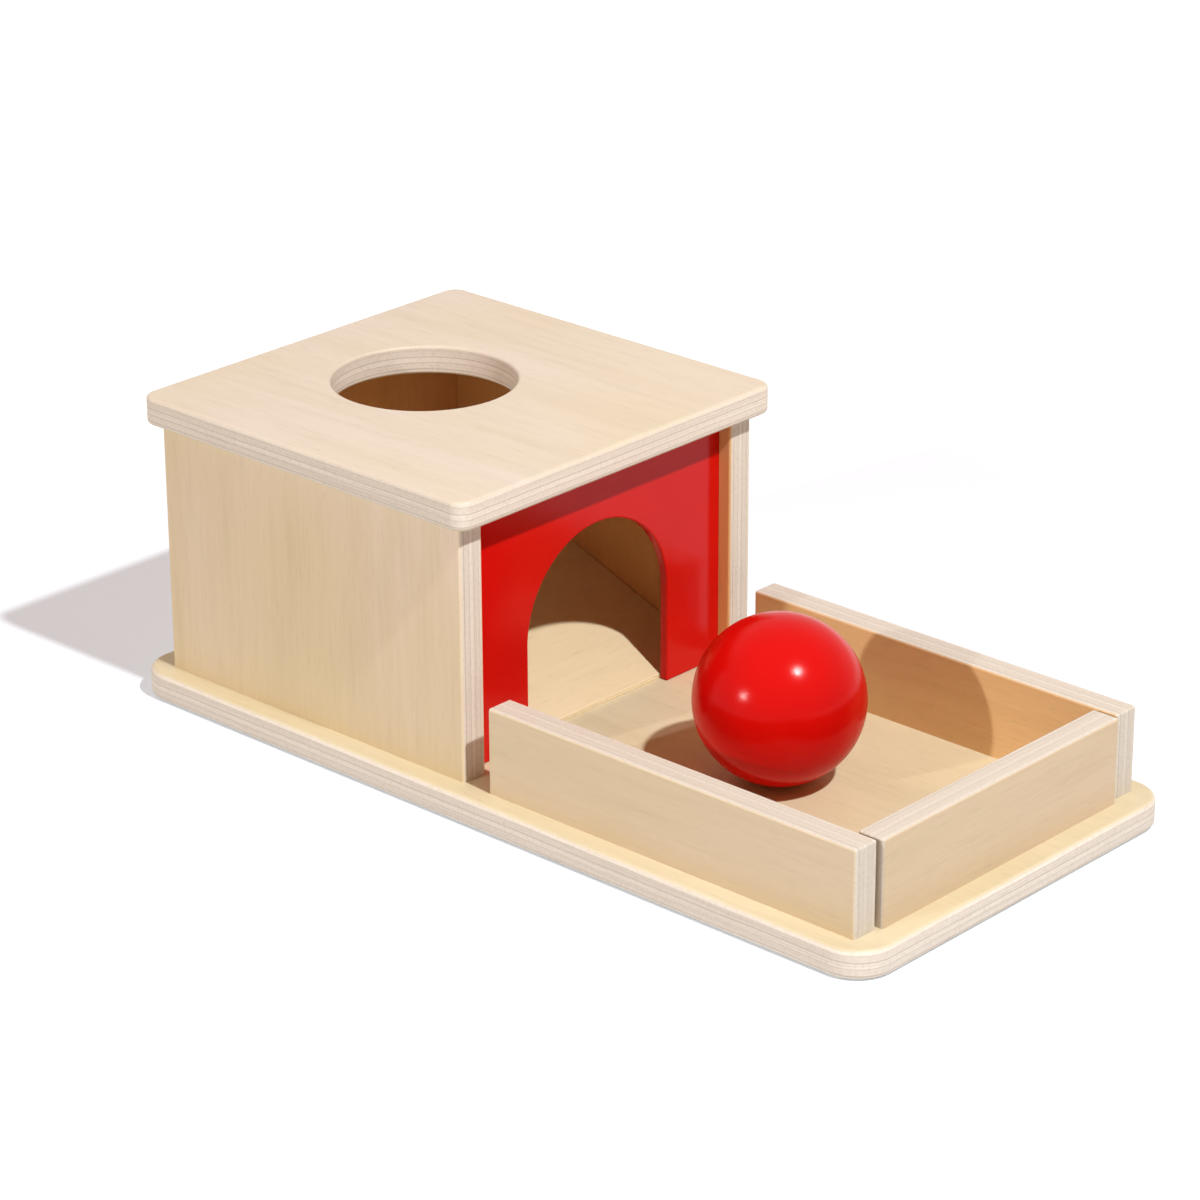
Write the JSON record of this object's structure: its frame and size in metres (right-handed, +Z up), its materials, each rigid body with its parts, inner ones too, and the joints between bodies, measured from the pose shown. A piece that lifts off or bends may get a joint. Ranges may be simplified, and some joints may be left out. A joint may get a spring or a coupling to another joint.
{
  "type": "object permanence box",
  "caption": "Plywood toy box with a round drop hole in its lid, an inner ramp, a red arched front and a walled tray into which a dropped ball rolls.",
  "frame": {"origin": "under the middle of the base board, on the surface that the box stands on", "axes": "+X from the box towards the tray's end, along the length; +Y to the right as seen from the tray's end; +Z up"},
  "size_m": [0.286, 0.138, 0.097],
  "materials": {
    "birch_ply": "birch plywood, sanded, clear satin lacquer",
    "red_lacquer": "glossy red lacquer on wood",
    "beech": "plain beech",
    "screw_zinc": "zinc-plated steel"
  },
  "bodies": {
    "box": {"base_board": "birch_ply", "left_side_panel": "birch_ply", "right_side_panel": "birch_ply", "back_panel": "birch_ply", "arch_panel": "red_lacquer", "ramp_board": "birch_ply", "ramp_cleat": "beech", "lid": "birch_ply", "left_tray_wall": "birch_ply", "right_tray_wall": "birch_ply", "end_wall": "birch_ply", "left_side_screws": "screw_zinc", "right_side_screws": "screw_zinc", "back_panel_screws": "screw_zinc", "left_tray_screws": "screw_zinc", "right_tray_screws": "screw_zinc", "end_wall_screws": "screw_zinc", "left_lid_dowels": "beech", "right_lid_dowels": "beech", "back_lid_dowels": "beech"},
    "ball": {"ball": "red_lacquer"}
  },
  "joints": [
    {"name": "ball_roll", "type": "slide", "parent": "box", "child": "ball", "axis": [1, 0, 0], "range_m": [-0.0618, 0.0462]}
  ]
}
